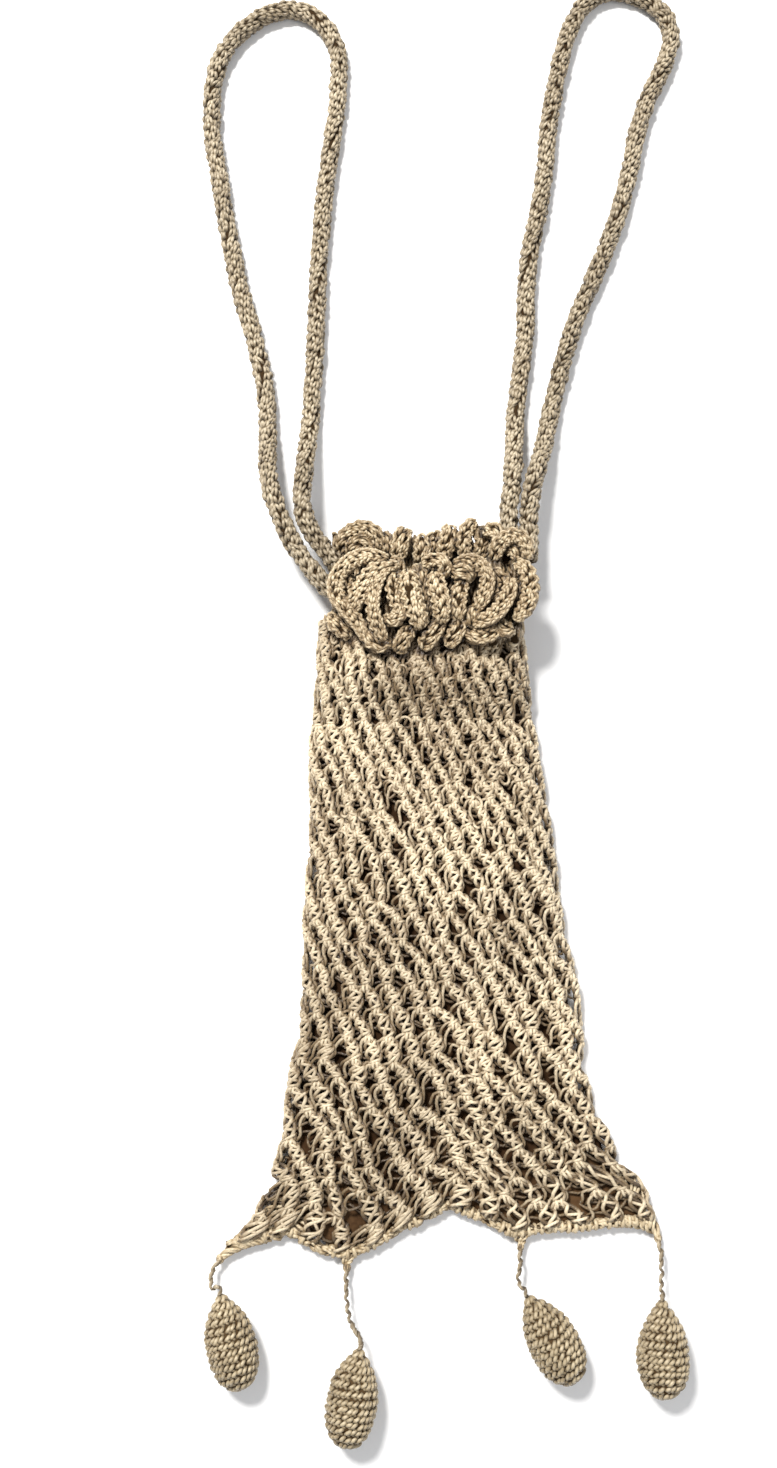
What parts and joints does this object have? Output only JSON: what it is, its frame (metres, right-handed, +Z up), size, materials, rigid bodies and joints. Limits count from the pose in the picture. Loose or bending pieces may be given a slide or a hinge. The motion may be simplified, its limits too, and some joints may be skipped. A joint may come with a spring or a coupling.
{
  "type": "drawstring bag",
  "caption": "Crocheted net pouch drawn shut by a gathered ruffle collar, with tubular pull loops and stuffed teardrop tassels hanging from its beaded hem.",
  "frame": {"origin": "on the surface the bag lies on, under the middle of the bag and its tassels without the pull loops", "axes": "+Z up from the surface, +Y from the hem towards the collar and the pull loops, +X to the right with the front of the bag up"},
  "size_m": [0.1422, 0.4121, 0.0237],
  "materials": {
    "net": "mercerised cotton, open crochet net",
    "edging": "mercerised cotton, close crochet",
    "ruffle": "mercerised cotton, dense crochet",
    "drawstring": "mercerised cotton, crocheted cord",
    "drop": "mercerised cotton, close crochet over filling",
    "filling": "cotton wadding"
  },
  "bodies": {
    "pouch": {"back_net_panel": "net", "front_net_panel": "net", "hem_edging": "edging", "back_ruffle": "ruffle", "back_casing_cord": "drawstring"},
    "front_collar": {"front_neck_net": "net", "front_ruffle": "ruffle", "front_casing_cord": "drawstring"},
    "left_drawstring": {"left_drawstring_loop": "drawstring"},
    "right_drawstring": {"right_drawstring_loop": "drawstring"},
    "knot_1": {"anchor_knot_1": "edging"},
    "stem_1": {"stem_chain_1": "drawstring"},
    "drop_1": {"drop_cover_1": "drop", "drop_filling_1": "filling"},
    "knot_2": {"anchor_knot_2": "edging"},
    "stem_2": {"stem_chain_2": "drawstring"},
    "drop_2": {"drop_cover_2": "drop", "drop_filling_2": "filling"},
    "knot_3": {"anchor_knot_3": "edging"},
    "stem_3": {"stem_chain_3": "drawstring"},
    "drop_3": {"drop_cover_3": "drop", "drop_filling_3": "filling"},
    "knot_4": {"anchor_knot_4": "edging"},
    "stem_4": {"stem_chain_4": "drawstring"},
    "drop_4": {"drop_cover_4": "drop", "drop_filling_4": "filling"}
  },
  "joints": [
    {"name": "mouth_opening", "type": "hinge", "parent": "pouch", "child": "front_collar", "pos_m": [-0.00247, 0.05413, 0.0122], "axis": [1, 0, 0], "range_deg": [0, 35]},
    {"name": "left_loop_draw", "type": "slide", "parent": "pouch", "child": "left_drawstring", "axis": [0.65, -0.76, 0], "range_m": [0, 0.006]},
    {"name": "right_loop_draw", "type": "slide", "parent": "pouch", "child": "right_drawstring", "axis": [0, -1, 0], "range_m": [0, 0.006]},
    {"name": "tassel_1_lift", "type": "hinge", "parent": "pouch", "child": "knot_1", "pos_m": [-0.05807, -0.07587, 0.00235], "axis": [-1, 0, 0], "range_deg": [0, 90]},
    {"name": "tassel_1_swing", "type": "hinge", "parent": "knot_1", "child": "stem_1", "pos_m": [-0.05807, -0.07587, 0.00235], "axis": [0, 0, 1], "range_deg": [-35, 35]},
    {"name": "tassel_1_flop", "type": "hinge", "parent": "stem_1", "child": "drop_1", "pos_m": [-0.05727, -0.08487, 0.00656], "axis": [0, 0, 1], "range_deg": [-50, 35]},
    {"name": "tassel_2_lift", "type": "hinge", "parent": "pouch", "child": "knot_2", "pos_m": [-0.02537, -0.07827, 0.00235], "axis": [-1, 0, 0], "range_deg": [0, 90]},
    {"name": "tassel_2_swing", "type": "hinge", "parent": "knot_2", "child": "stem_2", "pos_m": [-0.02537, -0.07827, 0.00235], "axis": [0, 0, 1], "range_deg": [-24, 35]},
    {"name": "tassel_2_flop", "type": "hinge", "parent": "stem_2", "child": "drop_2", "pos_m": [-0.02217, -0.09727, 0.00656], "axis": [0, 0, 1], "range_deg": [-40, 45]},
    {"name": "tassel_3_lift", "type": "hinge", "parent": "pouch", "child": "knot_3", "pos_m": [0.01953, -0.07367, 0.00235], "axis": [-1, 0, 0], "range_deg": [0, 90]},
    {"name": "tassel_3_swing", "type": "hinge", "parent": "knot_3", "child": "stem_3", "pos_m": [0.01953, -0.07367, 0.00235], "axis": [0, 0, 1], "range_deg": [-30, 30]},
    {"name": "tassel_3_flop", "type": "hinge", "parent": "stem_3", "child": "drop_3", "pos_m": [0.02073, -0.08507, 0.00656], "axis": [0, 0, 1], "range_deg": [-60, 20]},
    {"name": "tassel_4_lift", "type": "hinge", "parent": "pouch", "child": "knot_4", "pos_m": [0.05513, -0.07167, 0.00235], "axis": [-1, 0, 0], "range_deg": [0, 90]},
    {"name": "tassel_4_swing", "type": "hinge", "parent": "knot_4", "child": "stem_4", "pos_m": [0.05513, -0.07167, 0.00235], "axis": [0, 0, 1], "range_deg": [-19, 35]},
    {"name": "tassel_4_flop", "type": "hinge", "parent": "stem_4", "child": "drop_4", "pos_m": [0.05483, -0.08627, 0.00656], "axis": [0, 0, 1], "range_deg": [-45, 45]}
  ],
  "couplings": [
    {"joint": "left_loop_draw", "follows": "mouth_opening", "m_per_rad": 0.009812},
    {"joint": "right_loop_draw", "follows": "mouth_opening", "m_per_rad": 0.009812}
  ]
}
